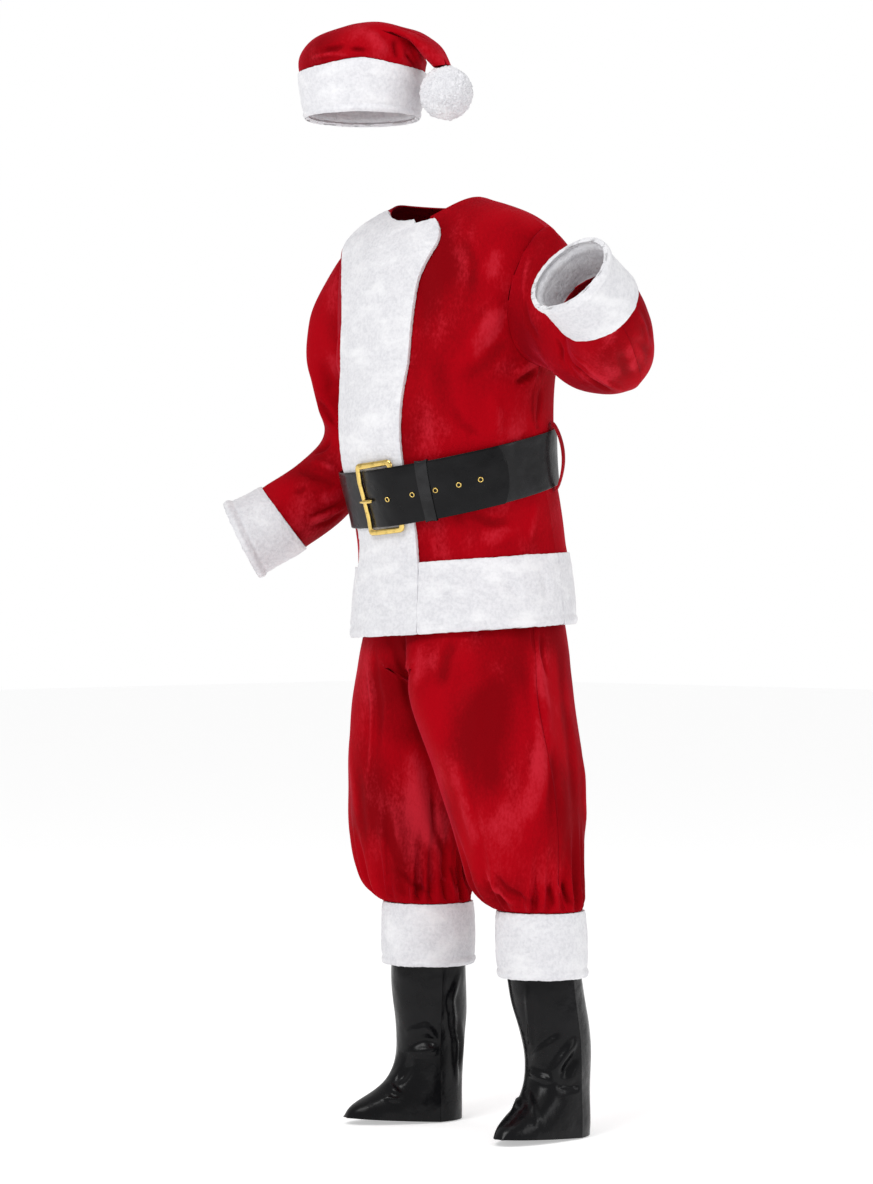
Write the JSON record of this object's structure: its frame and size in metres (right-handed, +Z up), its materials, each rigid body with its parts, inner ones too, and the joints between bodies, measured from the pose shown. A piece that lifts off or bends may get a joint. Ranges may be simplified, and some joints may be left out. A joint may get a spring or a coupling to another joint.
{
  "type": "santa suit",
  "caption": "Red velour santa suit with white plush trim, wide black belt, hat and boot covers, holding the shape of a standing wearer with one forearm raised.",
  "frame": {"origin": "middle of the neckline at shoulder height, between the wearer's shoulders", "axes": "+Z up along the wearer's height, -Y the way the wearer faces, +X to the wearer's left"},
  "size_m": [0.9147, 0.4347, 1.7499],
  "materials": {
    "red_velour": "short crushed pile, soft sheen",
    "white_plush": "short curly plush pile",
    "black_leatherette": "thin coated cloth, soft satin",
    "gold_metal": "bright plated"
  },
  "bodies": {
    "root": {"hat_crown": "red_velour", "hat_band": "white_plush", "hat_pompom": "white_plush", "jacket_front_left": "red_velour", "jacket_front_right": "red_velour", "jacket_back": "red_velour", "front_band": "white_plush", "hem_band_left": "white_plush", "hem_band_right": "white_plush", "hem_band_back": "white_plush", "sleeve_left_front": "red_velour", "sleeve_left_back": "red_velour", "sleeve_right_front": "red_velour", "sleeve_right_back": "red_velour", "cuff_left": "white_plush", "cuff_right": "white_plush", "belt_loop_left": "red_velour", "belt_loop_right": "red_velour", "belt_strap": "black_leatherette", "belt_free_end": "black_leatherette", "belt_keeper": "black_leatherette", "buckle_frame": "gold_metal", "buckle_prong": "gold_metal", "eyelet_1": "gold_metal", "eyelet_2": "gold_metal", "eyelet_3": "gold_metal", "eyelet_4": "gold_metal", "eyelet_5": "gold_metal", "trouser_left_front": "red_velour", "trouser_left_back": "red_velour", "trouser_right_front": "red_velour", "trouser_right_back": "red_velour", "trouser_waistband": "red_velour", "trouser_cuff_left": "white_plush", "trouser_cuff_right": "white_plush", "boot_left_front": "black_leatherette", "boot_left_back": "black_leatherette", "boot_right_front": "black_leatherette", "boot_right_back": "black_leatherette"}
  },
  "joints": []
}
